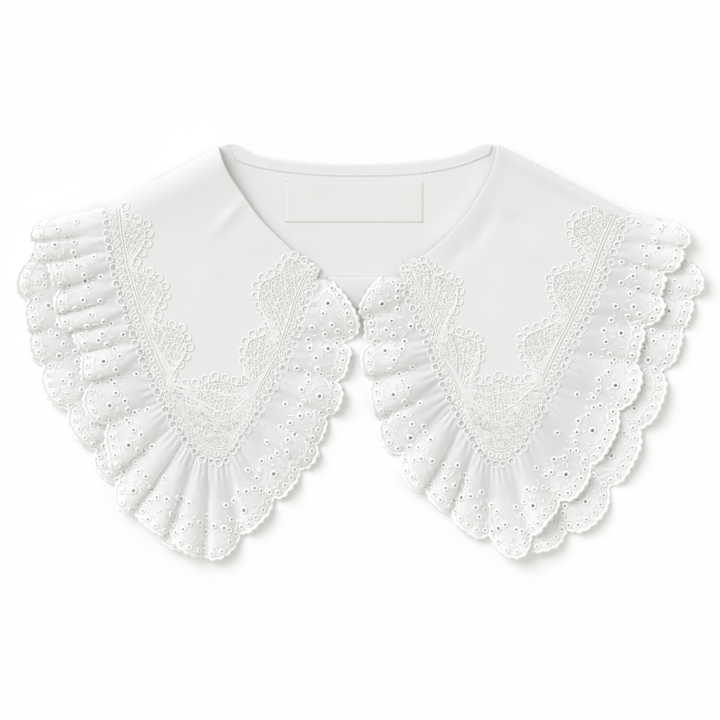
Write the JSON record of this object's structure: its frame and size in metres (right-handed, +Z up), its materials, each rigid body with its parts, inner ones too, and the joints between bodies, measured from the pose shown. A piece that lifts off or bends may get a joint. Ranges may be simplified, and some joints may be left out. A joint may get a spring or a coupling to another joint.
{
  "type": "statement collar",
  "caption": "Detachable pointed collar with gathered eyelet ruffles and a lace band on each wing, laid flat to be worn over a blouse or dress neckline",
  "frame": {"origin": "middle of the bounding box, on the surface that the collar lies on", "axes": "+Z up from that surface, +Y from the points of the wings to the back of the neck, +X to the right wing as seen from above"},
  "size_m": [0.4096, 0.2485, 0.0151],
  "materials": {
    "cotton": "plain woven white cotton",
    "eyelet_cotton": "white cotton with embroidered eyelets",
    "lace_thread": "raised white chemical lace",
    "label_satin": "woven satin label, blank"
  },
  "bodies": {
    "root": {"back_panel": "cotton", "back_neck_band": "cotton", "label": "label_satin", "back_ruffle_left": "eyelet_cotton", "back_ruffle_right": "eyelet_cotton", "front_left": "cotton", "front_right": "cotton", "front_tab": "cotton", "lace_left": "lace_thread", "lace_right": "lace_thread", "ruffle_left": "eyelet_cotton", "ruffle_right": "eyelet_cotton"}
  },
  "joints": []
}
